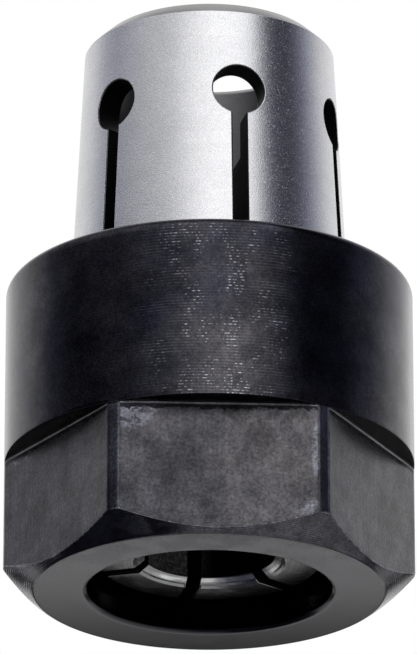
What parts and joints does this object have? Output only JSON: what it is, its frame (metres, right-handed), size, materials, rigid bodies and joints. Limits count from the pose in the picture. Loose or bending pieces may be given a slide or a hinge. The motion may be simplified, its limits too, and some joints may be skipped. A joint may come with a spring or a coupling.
{
  "type": "spring collet with clamping nut",
  "caption": "Slit spring collet with a tapered tail and keyhole slots, held in a blackened hexagon clamping nut that screws onto a router spindle.",
  "frame": {"origin": "centre of the nut's front face, where the shank goes in; the part stands on this face", "axes": "+Z along the axis of turning, from the nut's face towards the collet's tail; one wrench flat faces -Y"},
  "size_m": [0.025, 0.025, 0.036],
  "materials": {
    "blackened_steel": "turned and milled steel, blackened, semi-gloss",
    "ground_steel": "hardened steel, ground, satin",
    "spring_wire": "drawn spring wire, plain"
  },
  "bodies": {
    "nut": {"clamping_nut": "blackened_steel", "retaining_ring": "spring_wire"},
    "collet": {"spring_collet": "ground_steel"}
  },
  "joints": [
    {"name": "collet_turn", "type": "hinge", "parent": "nut", "child": "collet", "pos_m": [0, 0, 0.019], "axis": [0, 0, 1], "continuous": true}
  ]
}
